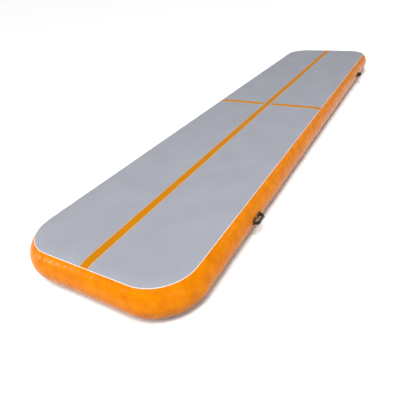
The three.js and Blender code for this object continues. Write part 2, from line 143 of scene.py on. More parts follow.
# ---------- unevenness of the stretched skin ----------
def ripple(s, wavelength, seed, parts=5):
    """A smooth wave along the outline, about 1 high, that meets itself after one turn."""
    draw = np.random.default_rng(seed)
    total = np.zeros(np.shape(s))
    for _ in range(parts):
        turns = max(1, round(AROUND / (wavelength * draw.uniform(0.6, 1.5))))
        total = total + np.sin(2 * math.pi * turns * np.asarray(s) / AROUND + draw.uniform(0, 2 * math.pi))
    return total / math.sqrt(parts)


# what each crease draws, in mm: the step to the next one, its depth and how far it runs from the seam
IN_TURN = ((14, 30), (1.2, 3.0), (12, 42))
ON_STRAIGHT = ((16, 60), (0.7, 2.6), (6, 26))
CREASE_HALF_WIDTH = (4.0, 7.5)
TURN_MARGIN = 30 * MM  # the straight runs crease like the turns this near to them


def crease_list(seed):
    """Pinches along a seam: place, half width, depth and how far each runs from the seam."""
    draw = np.random.default_rng(seed)
    found = []
    s = 0.0
    while s < AROUND:
        in_turn = any(STARTS[k] - TURN_MARGIN < s < STARTS[k + 1] + TURN_MARGIN for k in TURNS)
        step, deep, reach = (draw.uniform(*limits) * MM for limits in (IN_TURN if in_turn else ON_STRAIGHT))
        found.append((s, draw.uniform(*CREASE_HALF_WIDTH) * MM, deep, reach))
        s += step
    return found


CREASES = {1: crease_list(11), -1: crease_list(23)}
CREASE_LIMIT = 2.4 * MM  # deeper creases would reach the tape inside the seam
PUFF = 1.5 * MM  # the skin stands out this far along a seam, between its creases
PUFF_REACH = 30 * MM


def creased(s, distance, half):
    """Depth of the creases at places along the outline and away from the top (1) or bottom (-1) seam."""
    s = np.asarray(s, float)
    depth = np.zeros(np.broadcast(s, distance).shape)
    for place, width, deep, reach in CREASES[half]:
        away = (s - place + AROUND / 2) % AROUND - AROUND / 2
        near = np.abs(away[:, 0]) < 3 * width
        if near.any():
            depth[near] += deep * np.exp(-((away[near] / width) ** 2)) * np.exp(-((distance / reach) ** 2))
    return CREASE_LIMIT * np.tanh(depth / CREASE_LIMIT) - PUFF * np.exp(-((distance / PUFF_REACH) ** 2))


HANDLE_Y = box_middle("handle_far_right_grip", Y)
FITTINGS = [far_at(0)] + [place(sign * HANDLE_Y) for place in (right_at, left_at) for sign in (-1, 1)]
FITTING_REACH = 95 * MM  # the valve and the handles hold the wall even this far to each side


def calm(s):
    """0 where a handle or the valve holds the wall even, 1 away from them."""
    level = np.ones(np.shape(s))
    for place in FITTINGS:
        away = (s - place + AROUND / 2) % AROUND - AROUND / 2
        level = level * (1 - np.exp(-((away / FITTING_REACH) ** 4)))
    return level


def seam_wave(s):
    """Fine waves along a seam."""
    return 0.25 * MM * ripple(s, 0.07, 7)


def wall_offset(s, angle):
    """How far the wall stands out from its even round, for a column of s and a row of angles."""
    swell = 1.1 * MM * ripple(s, 0.45, 5) * np.cos(angle) ** 2
    roll = 0.55 * MM * ripple(s, 0.13, 6) * np.cos(2.2 * angle + 0.6)
    off = (swell + roll) * calm(s) + seam_wave(s) * np.sin(angle)
    for half in (1, -1):
        distance = (WALL_ANGLE - half * angle) * WALL_R
        off = off - creased(s, distance, half)
    return off


def wall_points(s, angles, off=0.0):
    """Grid of points on the wall: rows of s, columns of angle above half height."""
    s = np.asarray(s, float).reshape(-1, 1)
    angle = np.asarray(angles, float).reshape(1, -1)
    at, out = station(s[:, 0])
    radius = WALL_R + off + wall_offset(s, angle)
    inset = WALL_R - radius * np.cos(angle)
    flat = at[:, None, :] - out[:, None, :] * inset[..., None]
    height = MIDDLE + radius * np.sin(angle) + 0 * s
    return np.concatenate([flat, height[..., None]], -1)


def sheet_drop(edge):
    """How far a sheet's face is below its flat part, at a distance in from its edge."""
    return DROP * np.maximum(0, 1 - edge / SHOULDER) ** 2


SEAM_REACH = 14 * MM  # a sheet follows its seam about this far in


def seam_shift(s, edge, half):
    """The sheet and the lap under it move with the wall's seam: (outwards, upwards)."""
    s = np.asarray(s, float).reshape(-1, 1)
    pinch = -creased(s, np.zeros((1, 1)), half)
    wave = seam_wave(s) * math.sin(half * WALL_ANGLE)
    push = (pinch + wave) * np.exp(-((edge / SEAM_REACH) ** 2))
    return push * math.cos(WALL_ANGLE), half * push * math.sin(WALL_ANGLE)


def uneven(x, y):
    """Faint rise and fall of the top face between its rows of yarn: nine crossing waves."""
    draw = np.random.default_rng(31)
    total = 0.0
    for _ in range(9):
        angle, length = draw.uniform(0, math.pi), draw.uniform(0.12, 0.6)
        phase = draw.uniform(0, 2 * math.pi)
        total = total + np.sin(2 * math.pi * (x * math.cos(angle) + y * math.sin(angle)) / length + phase)
    return 0.09 * MM * total


def sheet_points(s, edges, half, deeper=0.0):
    """Grid of points on a sheet's face: rows of s, columns of distance in from the sheet's edge."""
    s = np.asarray(s, float)
    edge = np.asarray(edges, float).reshape(1, -1)
    at, out = station(s)
    outward, upward = seam_shift(s, edge, half)
    flat = at[:, None, :] - out[:, None, :] * (BULGE + edge - outward)[..., None]
    height = WALL_HALF + SKIN + GLUE + DROP - sheet_drop(edge) - deeper
    rise = MIDDLE + half * height + upward
    if half > 0:
        rise = rise + uneven(flat[..., 0], flat[..., 1])
    return np.concatenate([flat, rise[..., None]], -1)


# ---------- meshes ----------
def sound_faces(faces, zones):
    """Faces without repeated corners, and their zones; a face with under three corners goes."""
    faces = [tuple(dict.fromkeys(int(i) for i in face)) for face in faces]
    zones = [0] * len(faces) if zones is None else list(zones)
    kept = [(face, zone) for face, zone in zip(faces, zones) if len(face) > 2]
    return [face for face, _ in kept], [zone for _, zone in kept]


def settle(piece, body, slot, *nodes):
    """Says which body a piece rides on, if it isn't blended, and what it stands for; the material slot is not
    used.
    """
    if body:
        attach(piece, body)
    if nodes:
        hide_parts(*nodes)


def add_object(name, mesh, sharp):
    """A smooth-shaded object, apart from edges sharper than an angle in degrees."""
    mesh.shade_smooth()
    mesh.set_sharp_from_angle(angle=math.radians(sharp))
    piece = bpy.data.objects.new(name, mesh)
    bpy.context.scene.collection.objects.link(piece)
    return piece


def finish_mesh(name, points, faces, materials, zones=None, uv=None, sharp=40):
    """An object from points and faces, less the unused points; a zone is the index of a face's material."""
    points = np.asarray(points, float).reshape(-1, 3)
    faces, zones = sound_faces(faces, zones)
    used = sorted({i for face in faces for i in face})
    renumber = {old: new for new, old in enumerate(used)}
    mesh = bpy.data.meshes.new(name)
    mesh.from_pydata(points[used].tolist(), [], [[renumber[i] for i in face] for face in faces])
    for made in materials:
        mesh.materials.append(made)
    mesh.polygons.foreach_set("material_index", zones)
    if uv is not None:
        layer = mesh.uv_layers.new(name="flat")
        corner = np.zeros(len(mesh.loops), int)
        mesh.loops.foreach_get("vertex_index", corner)
        layer.data.foreach_set("uv", np.asarray(uv, float).reshape(-1, 2)[used][corner].ravel())
    build = bmesh.new()
    build.from_mesh(mesh)
    bmesh.ops.recalc_face_normals(build, faces=build.faces)
    build.to_mesh(mesh)
    build.free()
    return add_object(name, mesh, sharp)


def thick(name, over, under, faces, materials, zones=None, rim=0, uv=None, sharp=40):
    """A closed piece between two layers of points that share the same faces."""
    over = np.asarray(over, float).reshape(-1, 3)
    under = np.asarray(under, float).reshape(-1, 3)
    count = len(over)
    faces, zones = sound_faces(faces, zones)
    edges = [(face[i], face[(i + 1) % len(face)]) for face in faces for i in range(len(face))]
    known = set(edges)
    border = [(a, b) for a, b in edges if (b, a) not in known]
    every = faces + [tuple(i + count for i in reversed(face)) for face in faces]
    every += [(b, a, a + count, b + count) for a, b in border]
    marks = zones + [0] * len(faces) + [rim] * len(border)
    uvs = None if uv is None else np.concatenate([np.asarray(uv).reshape(-1, 2)] * 2)
    return finish_mesh(name, np.concatenate([over, under]), every, materials, marks, uvs, sharp)


def grid_faces(rows, columns, wrap=False):
    """Corners of the faces between a grid's points; wrapped, the last row also joins the first."""
    index = np.arange(rows * columns).reshape(rows, columns)
    if wrap:
        index = np.concatenate([index, index[:1]])
    corners = [index[:-1, :-1], index[1:, :-1], index[1:, 1:], index[:-1, 1:]]
    return np.stack([c.ravel() for c in corners], -1)


def block(name, over, under, materials, zones=None, rim=0, uv=None, keep=None, sharp=40):
    """A closed piece between two grids of points."""
    rows, columns = over.shape[:2]
    faces = grid_faces(rows, columns)
    marks = np.zeros(len(faces), int) if zones is None else np.asarray(zones).ravel()
    if keep is not None:
        faces, marks = faces[keep.ravel()], marks[keep.ravel()]
    return thick(name, over, under, faces, materials, marks, rim, uv, sharp)


def flat_uv(rows, columns):
    across, along = np.meshgrid(columns, rows)
    return np.stack([along, across], -1)


# ---------- materials ----------
def node(tree, kind, values=(), **settings):
    """A new shader node; a value that is a socket is linked, any other goes on the input."""
    made = tree.nodes.new(kind)
    for name, value in settings.items():
        setattr(made, name, value)
    for name, value in dict(values).items():
        if isinstance(value, bpy.types.NodeSocket):
            tree.links.new(value, made.inputs[name])
        else:
            made.inputs[name].default_value = value
    return made


def maths(tree, operation, *values):
    return node(tree, "ShaderNodeMath", dict(enumerate(values)), operation=operation).outputs[0]


def noise(tree, vector, scale, detail):
    values = {"Vector": vector, "Scale": scale, "Detail": detail}
    return node(tree, "ShaderNodeTexNoise", values).outputs["Fac"]


def surface(name, **sockets):
    """A new material; plain values go straight on the shader's sockets."""
    made = bpy.data.materials.new(name)
    made.use_nodes = True
    shader = made.node_tree.nodes["Principled BSDF"]
    for socket, value in sockets.items():
        shader.inputs[socket.replace("_", " ")].default_value = value
    return made, made.node_tree, shader


def linear(red, green, blue):
    """A display colour, 0 to 255, as the shader's linear one."""
    each = [c / 255 for c in (red, green, blue)]
    return [c / 12.92 if c <= 0.04045 else ((c + 0.055) / 1.055) ** 2.4 for c in each] + [1]


def coordinates(tree, flat):
    """The unrolled piece's own coordinates or, where it has none, its places in the object; in metres."""
    if flat:
        return node(tree, "ShaderNodeUVMap", uv_map="flat").outputs["UV"]
    return node(tree, "ShaderNodeTexCoord").outputs["Object"]


def tinted(tree, shader, vector, low, high, scale, detail=4):
    """Colour that drifts between two shades, given as display colours."""
    ramp = node(tree, "ShaderNodeValToRGB", {"Fac": noise(tree, vector, scale, detail)})
    for element, position, shade in zip(ramp.color_ramp.elements, (0.3, 0.7), (low, high)):
        element.position = position
        element.color = linear(*shade)
    tree.links.new(ramp.outputs["Color"], shader.inputs["Base Color"])


def varied_roughness(tree, shader, vector, low, high, scale):
    mapped = node(tree, "ShaderNodeMapRange", {"Value": noise(tree, vector, scale, 6), "From Min": 0.3,
                                               "From Max": 0.7, "To Min": low, "To Max": high})
    tree.links.new(mapped.outputs["Result"], shader.inputs["Roughness"])


def bumped(tree, shader, heights):
    """Chains (height socket, distance in metres) bumps into the shader's normal."""
    normal = None
    for height, distance in heights:
        values = {"Height": height, "Distance": distance, "Strength": 1.0}
        if normal:
            values["Normal"] = normal
        normal = node(tree, "ShaderNodeBump", values).outputs["Normal"]
    tree.links.new(normal, shader.inputs["Normal"])


def crossed(tree, vector, pitch, sharpness=0.5):
    """Height of a plain weave: crossing rows of rounded threads, `pitch` metres apart."""
    split = node(tree, "ShaderNodeSeparateXYZ", {"Vector": vector})
    rows = []
    for axis in ("X", "Y"):
        wave = maths(tree, "SINE", maths(tree, "MULTIPLY", split.outputs[axis], math.pi / pitch))
        rows.append(maths(tree, "ABSOLUTE", wave))
    return maths(tree, "POWER", maths(tree, "MULTIPLY", *rows), sharpness)


def soiled(tree, shader, shade_none_above, shade_full_below, level):
    """Painted shade: darkens the shader's colour towards the floor, where the lower wall falls in shade;
    untouched above the upper height, times `level` below the lower one.
    """
    height = node(tree, "ShaderNodeSeparateXYZ", {"Vector": coordinates(tree, False)}).outputs["Z"]
    limits = {"Value": height, "From Min": shade_full_below, "From Max": shade_none_above, "To Min": level, "To Max": 1.0}
    amount = node(tree, "ShaderNodeMapRange", limits, interpolation_type="SMOOTHSTEP")
    tint = node(tree, "ShaderNodeMix", data_type="RGBA", blend_type="MULTIPLY")
    tint.inputs["Factor"].default_value = 1.0
    tree.links.new(shader.inputs["Base Color"].links[0].from_socket, tint.inputs["A"])
    tree.links.new(amount.outputs["Result"], tint.inputs["B"])
    tree.links.new(tint.outputs["Result"], shader.inputs["Base Color"])


def coated_fabric(name, low, high, rough, pitch, weave, specular, **special):
    """PVC-coated fabric: drifting tone, uneven gloss, a fine grain, and the scrim's pitch and height.

    `special` may give the drift's scale, the soft waves' height, flat=False or the heights and level of the
    painted shade towards the floor.
    """
    made, tree, shader = surface(name, Specular_IOR_Level=specular)
    vector = coordinates(tree, special.get("flat", True))
    tinted(tree, shader, vector, low, high, special.get("drift", 5), 6)
    varied_roughness(tree, shader, vector, rough[0], rough[1], 14)
    bumped(tree, shader, [(crossed(tree, vector, pitch), weave), (noise(tree, vector, 900, 3), 0.04 * MM),
                          (noise(tree, vector, 22, 2), special.get("waves", 0.25 * MM))])
    # painted shade: the colour darkens towards the floor
    if "soil" in special:
        soiled(tree, shader, *special["soil"])
    return made


SCRIM = 2.2 * MM
# heights and darkest share of the painted shade on the wall's colour towards the floor
WALL_PAINTED_SHADE = (120 * MM, 25 * MM, 0.55)
TOP_PVC = coated_fabric("top_pvc", (136, 138, 146), (142, 144, 152), (0.42, 0.5), 2.6 * MM, 0.03 * MM, 0.06)
BASE_PVC = coated_fabric("base_pvc", (110, 110, 117), (122, 122, 129), (0.55, 0.65), 3 * MM, 0.12 * MM, 0.3)
# the wall's colour carries painted shade towards the floor
WALL_PVC = coated_fabric("wall_pvc", (184, 101, 1), (206, 119, 3), (0.2, 0.3), SCRIM, 0.02 * MM, 0.045,
                         drift=16, waves=0.8 * MM, soil=WALL_PAINTED_SHADE)
STRIPE_PVC = coated_fabric("stripe_pvc", (170, 106, 4), (178, 112, 7), (0.34, 0.42), SCRIM, 0.02 * MM, 0.06)
# pale cut edge on the rims; on the sheets' outer ring also a painted highlight along the seam
CUT_EDGE_AND_HIGHLIGHT = coated_fabric("cut_edge_and_highlight", (206, 200, 194), (216, 211, 206), (0.5, 0.6), MM, 0.06 * MM, 0.3)
STRIPE_EDGE = coated_fabric("stripe_edge", (214, 172, 112), (222, 182, 124), (0.4, 0.5), MM, 0.04 * MM, 0.3)
TAPE = coated_fabric("seam_tape", (214, 210, 202), (228, 225, 218), (0.5, 0.6), 2 * MM, 0.08 * MM, 0.4,
                     flat=False)


def woven(name, low, high, pitch):
    """Webbing: thick cross threads with a slight sheen."""
    made, tree, shader = surface(name, Specular_IOR_Level=0.3, Sheen_Weight=0.08, Sheen_Roughness=0.4)
    vector = coordinates(tree, True)
    tinted(tree, shader, vector, low, high, 260, 2)
    varied_roughness(tree, shader, vector, 0.6, 0.85, 300)
    fibres = noise(tree, vector, 2600, 2)
    bumped(tree, shader, [(crossed(tree, vector, pitch, 0.7), 0.5 * MM), (fibres, 0.08 * MM)])
    return made


def moulded(name, low, high, rough, grain_scale=1400, grain=0.04 * MM, metallic=0.0, specular=0.5):
    """Moulded plastic, rubber, yarn or wire: fine grain over a slightly drifting tone."""
    made, tree, shader = surface(name, Specular_IOR_Level=specular, Metallic=metallic)
    vector = coordinates(tree, False)
    tinted(tree, shader, vector, low, high, 60)
    varied_roughness(tree, shader, vector, rough[0], rough[1], 90)
    bumped(tree, shader, [(noise(tree, vector, grain_scale, 4), grain)])
    return made


WEBBING = woven("webbing", (19, 18, 17), (30, 29, 27), 1.7 * MM)
THREAD = moulded("thread", (44, 42, 39), (58, 56, 52), (0.6, 0.8), 3000, 0.06 * MM)
GRIP_RUBBER = moulded("grip_rubber", (24, 24, 23), (33, 33, 31), (0.45, 0.6))
PLASTIC = moulded("valve_plastic", (36, 37, 39), (46, 47, 49), (0.3, 0.42))
RUBBER = moulded("valve_rubber", (30, 30, 30), (40, 40, 40), (0.55, 0.7))
STEEL = moulded("spring_steel", (176, 178, 182), (200, 202, 206), (0.22, 0.35), 2000, 0.02 * MM, metallic=1.0)
YARN = moulded("yarn", (226, 223, 214), (240, 238, 230), (0.8, 0.95), 2400, 0.3 * MM, specular=0.2)

# ---------- sheets ----------
RING_EDGES = np.array([0, 2.2, 3.4, 5, 8, 12, 17, 23, 30, 38, 46, 55, 75, 105, 150, 210]) * MM
PALE_HIGHLIGHT_RINGS = 1  # how many of the outer rings take the cut edge's pale colour on their face: a pale lip along the seam, partly a painted highlight
SHEET_STEP = 5 * MM  # spacing of the points along the outline and of the flat part's grid


def divisions(length, step):
    return max(2, round(length / step))


def sheet_stations():
    """Distances along the outline, run by run; those of the straight runs match the flat part's grid."""
    each = []
    for start, run in zip(STARTS, RUNS):
        count = divisions(run, SHEET_STEP)
        each.append(start + run * np.arange(count) / count)
    return each


def build_sheet(name, half, face_material):
    """Rings in from the edge to a rectangle, and a grid over the rectangle, welded where they meet."""
    runs = sheet_stations()
    s = np.concatenate(runs)
    rings = sheet_points(s, RING_EDGES, half)
    faces = [tuple(face) for face in grid_faces(len(s), len(RING_EDGES), wrap=True)]
    columns = len(RING_EDGES)
    # pale lip on the outer rings' faces, partly a painted highlight along the seam
    zones = [1 if i % (columns - 1) < PALE_HIGHLIGHT_RINGS else 0 for i in range(len(faces))]
    xs = np.linspace(-SHORT / 2, SHORT / 2, len(runs[2]) + 1)
    ys = np.linspace(-LONG / 2, LONG / 2, len(runs[0]) + 1)
    grid_x, grid_y = np.meshgrid(xs, ys, indexing="ij")
    rise = np.full(grid_x.shape, MIDDLE + half * MIDDLE)
    if half > 0:
        rise = rise + uneven(grid_x, grid_y)
    inner = np.stack([grid_x, grid_y, rise], -1)
    start = rings.shape[0] * columns
    faces += [tuple(face + start) for face in grid_faces(len(xs), len(ys))]
    zones += [0] * (len(faces) - len(zones))
    points = np.concatenate([rings.reshape(-1, 3), inner.reshape(-1, 3)])
    _, first, same = np.unique(np.round(points[:, :2], 6), axis=0, return_index=True, return_inverse=True)
    faces = [tuple(first[same.ravel()[list(face)]]) for face in faces]
    under = points - [0, 0, half * SKIN]
    return thick(name, points, under, faces, [face_material, CUT_EDGE_AND_HIGHLIGHT], zones, rim=1, uv=points[:, :2])


top = build_sheet("top_cover", 1, TOP_PVC)
base = build_sheet("base_cover", -1, BASE_PVC)

# ---------- wall strips ----------
ARC_STEPS = [0, 1.2, 2.8, 5, 8, 12, 17, 23, 30, 38, 46]  # degrees from a seam
LAP_STEPS = np.array([25, 18, 12, 7, 3, 0.8]) * MM  # in from a sheet's edge
HOLE = 24 * MM  # radius of the valve's hole in the far strip


def wall_angles():
    from_top = [WALL_ANGLE - math.radians(step) for step in ARC_STEPS]
    middle = list(np.linspace(from_top[-1], -from_top[-1], 4))[1:-1]
    return np.array(from_top + middle + [-angle for angle in reversed(from_top)])


def wall_layer(s, deeper):
    """The strip's face, from the end of its upper lap to the end of its lower one."""
    laps = {}
    for half in (1, -1):
        under = sheet_points(s, LAP_STEPS, half, deeper=SKIN + GLUE + deeper)
        if half > 0:
            under[..., 2] -= uneven(under[..., 0], under[..., 1])
        laps[half] = under
    round_part = wall_points(s, wall_angles(), off=-deeper)
    return np.concatenate([laps[1], round_part, laps[-1][:, ::-1]], 1)


def section_lengths(layer):
    """Distance of each column from the first, along the first row."""
    return np.concatenate([[0], np.cumsum(np.linalg.norm(np.diff(layer[0], axis=0), axis=1))])


def build_wall(name, start, end, hole=False):
    """A wall strip between two places on the outline, with its laps."""
    s = np.linspace(start, end, divisions(end - start, STATION) + 1)
    over, under = wall_layer(s, 0.0), wall_layer(s, SKIN)
    keep = cut_hole(over, under) if hole else None
    uv = flat_uv(s, section_lengths(over))
    return block(name, over, under, [WALL_PVC, CUT_EDGE_AND_HIGHLIGHT], rim=1, uv=uv, keep=keep)


def cut_hole(over, under):
    """Leaves out the faces inside the valve's hole and draws its border points in to an exact circle."""
    away = np.hypot(over[..., 0], over[..., 2] - MIDDLE)
    middle = (away[1:, 1:] + away[:-1, 1:] + away[1:, :-1] + away[:-1, :-1]) / 4
    behind = over[1:, 1:, 1] < 0
    keep = (middle > HOLE) | behind
    counted = np.zeros(away.shape)
    for i, j in ((0, 0), (0, 1), (1, 0), (1, 1)):
        counted[i:counted.shape[0] - 1 + i, j:counted.shape[1] - 1 + j] += keep
    border = (counted < 4) & (counted > 0) & (away < 2 * HOLE) & (over[..., 1] > 0)
    for layer in (over, under):
        scale = HOLE / away[border]
        layer[border, 0] *= scale
        layer[border, 2] = MIDDLE + (layer[border, 2] - MIDDLE) * scale
    return keep


BUTT = GLUE / 2  # each strip stops this far before the middle of its splice
walls = {
    "right": build_wall("side_skin_right", right_at(-SPLICE_Y) + BUTT, right_at(SPLICE_Y) - BUTT),
    "left": build_wall("side_skin_left", left_at(SPLICE_Y) + BUTT, left_at(-SPLICE_Y) - BUTT),
    "near": build_wall("end_skin_near", left_at(-SPLICE_Y) + BUTT, right_at(-SPLICE_Y) + AROUND - BUTT),
    "far": build_wall("end_skin_far", right_at(SPLICE_Y) + BUTT, left_at(SPLICE_Y) - BUTT, hole=True),
}


# ---------- layers welded on the wall ----------
PATCH_GRID = 3 * MM
WELD = 2.5 * MM  # width of a patch's welded border
WELD_LEVEL = 0.35  # and its height as a share of the patch's


def with_weld(half):
    """Shares of a half size from -1 to 1 in steps of the grid, with both edges of the weld added."""
    even = np.linspace(-1, 1, divisions(2 * half, PATCH_GRID) + 1)
    return np.sort(np.concatenate([even, [-1 + WELD / half, 1 - WELD / half]]))


def wall_patch(name, s_mid, half_width, half_angle, rise, corner):
    """A patch on the wall's round, its corners rounded and its border pressed down along the weld."""
    half_height = half_angle * WALL_R
    ease, up = with_weld(half_width), with_weld(half_height)
    reach = np.maximum(0, np.abs(up) * half_height - (half_height - corner))
    width = half_width - corner + np.sqrt(np.maximum(0, corner**2 - reach**2))
    s = s_mid + ease[:, None] * width[None, :]
    angle = up * half_angle
    over, under = np.zeros(s.shape + (3,)), np.zeros(s.shape + (3,))
    across = (1 - np.abs(ease))[:, None] * width[None, :]
    border = np.minimum(across, ((1 - np.abs(up)) * half_height)[None, :])
    height = WELD_LEVEL * rise + (1 - WELD_LEVEL) * rise * np.clip(border / WELD, 0, 1) ** 0.5
    for j, a in enumerate(angle):
        over[:, j] = wall_points(s[:, j], [a], off=(CONTACT + height[:, j])[:, None])[:, 0]
        under[:, j] = wall_points(s[:, j], [a], off=CONTACT)[:, 0]
    uv = np.stack([s - s_mid, np.broadcast_to(angle * WALL_R, s.shape)], -1)
    return block(name, over, under, [WALL_PVC], uv=uv, sharp=60)


SPLICE_HALF = box_half("splice_strip_far_right", Y)
SPLICE_ANGLE = math.radians(48)
SPLICE_RISE = 0.8 * MM
SPLICE_CORNER = 9 * MM
SIDES = {"right": (1, right_at), "left": (-1, left_at)}
splices = {}
for side, (_, place) in SIDES.items():
    for end, sign in (("near", -1), ("far", 1)):
        splices[f"{end}_{side}"] = wall_patch(f"splice_{end}_{side}", place(sign * SPLICE_Y), SPLICE_HALF,
                                              SPLICE_ANGLE, SPLICE_RISE, SPLICE_CORNER)

# ---------- marking stripes ----------
STRIPE_HALF = box_half("centre_stripe", X)
CROSS_LOW, CROSS_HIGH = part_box("cross_stripe_right")[0].y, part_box("cross_stripe_right")[1].y
STRIPE_RISE = 0.6 * MM
STRIPE_BORDER = 1.7 * MM  # pale edge
STRIPE_CHAMFER = 0.3 * MM
SEAM_ZONE = 45 * MM  # further in than this a sheet no longer follows its seam


def lay_on_top(x, y, off):
    """Points on the top sheet's face, raised by off."""
    x, y = np.broadcast_arrays(np.asarray(x, float), np.asarray(y, float))
    edge_x, edge_y = EDGE_X - np.abs(x), EDGE_Y - np.abs(y)
    edge = np.minimum(edge_x, edge_y)
    to_side = edge_x < edge_y
    s = np.where(to_side, np.where(x > 0, right_at(y), left_at(y)), np.where(y > 0, far_at(x), near_at(x)))
    outward, upward = np.zeros(x.shape), np.zeros(x.shape)
    close = edge < SEAM_ZONE
    if close.any():
        out, rise = seam_shift(s[close], edge[close][:, None], 1)
        outward[close], upward[close] = out[:, 0], rise[:, 0]
    moved_x = x + np.where(to_side, np.sign(x) * outward, 0)
    moved_y = y + np.where(to_side, 0, np.sign(y) * outward)
    height = TOP - sheet_drop(edge) + upward + uneven(moved_x, moved_y) + off
    return np.stack([moved_x, moved_y, height], -1)


def stripe_steps(low, high, edge):
    """Places along a stripe, close together where it goes down a shoulder."""
    steps = list(np.linspace(low, high, divisions(high - low, 15 * MM) + 1))
    for e in RING_EDGES[1:12]:
        steps += [edge - e, e - edge]
    return np.array(sorted(t for t in set(np.round(steps, 6)) if low <= t <= high))


def stripe_columns(low, high):
    """Places across a stripe: its edges, their chamfers and the face between the pale borders."""
    inner = np.linspace(low + STRIPE_BORDER, high - STRIPE_BORDER, 11)
    return np.concatenate([[low, low + 0.5 * MM], inner, [high - 0.5 * MM, high]])


def build_stripe(name, rows, columns, along_y):
    x, y = np.meshgrid(columns, rows) if along_y else np.meshgrid(rows, columns, indexing="ij")
    over = lay_on_top(x, y, CONTACT + STRIPE_RISE)
    over[:, [0, -1], 2] -= STRIPE_CHAMFER
    under = lay_on_top(x, y, CONTACT)
    zones = np.zeros((len(rows) - 1, len(columns) - 1), int)
    zones[:, :2] = zones[:, -2:] = 1
    return block(name, over, under, [STRIPE_PVC, STRIPE_EDGE], zones, rim=1, uv=flat_uv(rows, columns))


centre = build_stripe("centre_line", stripe_steps(-EDGE_Y, EDGE_Y, EDGE_Y),
                      stripe_columns(-STRIPE_HALF, STRIPE_HALF), True)
cross = {}
for side, start, end in (("right", STRIPE_HALF + GLUE, EDGE_X), ("left", -EDGE_X, -STRIPE_HALF - GLUE)):
    cross[side] = build_stripe(f"cross_line_{side}", stripe_steps(start, end, EDGE_X),
                               stripe_columns(CROSS_LOW, CROSS_HIGH), False)


# ---------- carry handles ----------
PATCH_ANGLE = math.radians(18)
PATCH_RISE = 1.0 * MM
PATCH_CORNER = 12 * MM
STRAP = 2.6 * MM  # doubled webbing
SOLE = 1.6 * MM  # single where it is sewn down
STRAP_HALF = box_half("handle_near_right_strap", Z)
SOLE_LIFT = PATCH_RISE + GLUE + SOLE / 2
SOLE_START = 10 * MM  # from the middle of the handle out to the inner edge of a sewn end
OPEN_HALF = 17 * MM  # the fold opens out to nearly the webbing's full width where it is sewn
HINGE_OUT = 12 * MM  # from the wall out to the hinge line
STUB = 44.2 * MM  # from the middle of the handle out to where the strap leaves the wall
SOLE_END = STUB - 3 * MM
LEG = 41.5 * MM  # from the middle out to the strap where it crosses the hinge line
CORE_OUT = 28 * MM  # from the wall to the middle of the grip
CORE_HALF = 30 * MM  # half of the straight length inside the grip


def bezier(points, count):
    """Points of a cubic curve after its first one."""
    a, b, c, d = (np.array(p, float) for p in points)
    t = (np.arange(count) + 1)[:, None] / count
    return (1 - t) ** 3 * a + 3 * (1 - t) ** 2 * t * b + 3 * (1 - t) * t**2 * c + t**3 * d


def strap_path():
    """Half of the strap seen from above, as (along, out): sewn sole, turn, leg and half the grip."""
    knee = SOLE_LIFT + 3 * MM
    sole = np.stack([np.linspace(SOLE_START, SOLE_END, 9), np.full(9, SOLE_LIFT)], -1)
    turn = bezier([sole[-1], (STUB - 0.8 * MM, SOLE_LIFT), (STUB, knee - 2.2 * MM), (STUB, knee)], 6)
    leg = bezier([(STUB, knee), (STUB, 9 * MM), (LEG, 9.5 * MM), (LEG, HINGE_OUT + 1.5 * MM)], 12)
    bow = bezier([leg[-1], (LEG, HINGE_OUT + 11 * MM), (LEG - 2 * MM, CORE_OUT), (CORE_HALF, CORE_OUT)], 12)
    core = np.stack([np.linspace(CORE_HALF, 0, 8)[1:], np.full(7, CORE_OUT)], -1)
    return np.concatenate([sole, turn, leg, bow, core])


def sideways(path):
    """Unit directions to the left of a flat path."""
    ahead = np.gradient(path, axis=0)
    ahead /= np.linalg.norm(ahead, axis=1)[:, None]
    return np.stack([-ahead[:, 1], ahead[:, 0]], -1)


def build_strap(name, y, sign):
    """One length of webbing: sewn end, leg, through the grip, leg, sewn end."""
    half = strap_path()
    path = np.concatenate([half, (half * [-1, 1])[-2::-1]])
    away = sideways(path)
    grown = np.clip((path[:, 1] - SOLE_LIFT) / (6 * MM), 0, 1)
    across = np.array([-1, -0.95, -0.85, -0.5, -0.2, 0.2, 0.5, 0.85, 0.95, 1])
    selvedge = np.array([0.45, 0.85, 1, 1, 1, 1, 1, 1, 0.85, 0.45])
    thickness = (SOLE + (STRAP - SOLE) * grown)[:, None] * selvedge[None, :]
    folded = np.clip((path[:, 1] - SOLE_LIFT) / (9 * MM), 0, 1)
    folded = folded**2 * (3 - 2 * folded)
    half_height = OPEN_HALF + (STRAP_HALF - OPEN_HALF) * folded
    up = half_height[:, None] * across[None, :]
    sagged = (1 - grown)[:, None] * (WALL_R - np.sqrt(WALL_R**2 - up**2))
    layers = []
    for way in (1, -1):
        flat = path[:, None, :] + way / 2 * thickness[..., None] * away[:, None, :]
        x = sign * (WIDE_X + flat[..., 1] - sagged)
        layers.append(np.stack([x, y + flat[..., 0], MIDDLE + up], -1))
    uv = flat_uv(section_lengths([path]), STRAP_HALF * across)
    return block(name, layers[0], layers[1], [WEBBING], uv=uv, sharp=50)


def build_stitches(name, y, sign):
    """Two rows of thread round each sewn end, as short raised loops."""
    points, faces = [], []
    centre = (SOLE_START + SOLE_END) / 2
    for end in (-1, 1):
        for inset in (2.0 * MM, 4.6 * MM):
            width = centre - SOLE_START - inset
            high = (OPEN_HALF - inset) / WALL_R
            corners = [(-width, -high), (width, -high), (width, high), (-width, high), (-width, -high)]
            for (u0, a0), (u1, a1) in zip(corners, corners[1:]):
                length = math.hypot(u1 - u0, (a1 - a0) * WALL_R)
                count = max(1, round(length / (3.2 * MM)))
                for k in range(count):
                    t0, t1 = (k + 0.12) / count, (k + 0.88) / count
                    along = [(end * centre + (u0 + (u1 - u0) * t), a0 + (a1 - a0) * t)
                             for t in (t0, (t0 + t1) / 2, t1)]
                    add_stitch(points, faces, along, y, sign)
    return finish_mesh(name, points, faces, [THREAD], sharp=80)


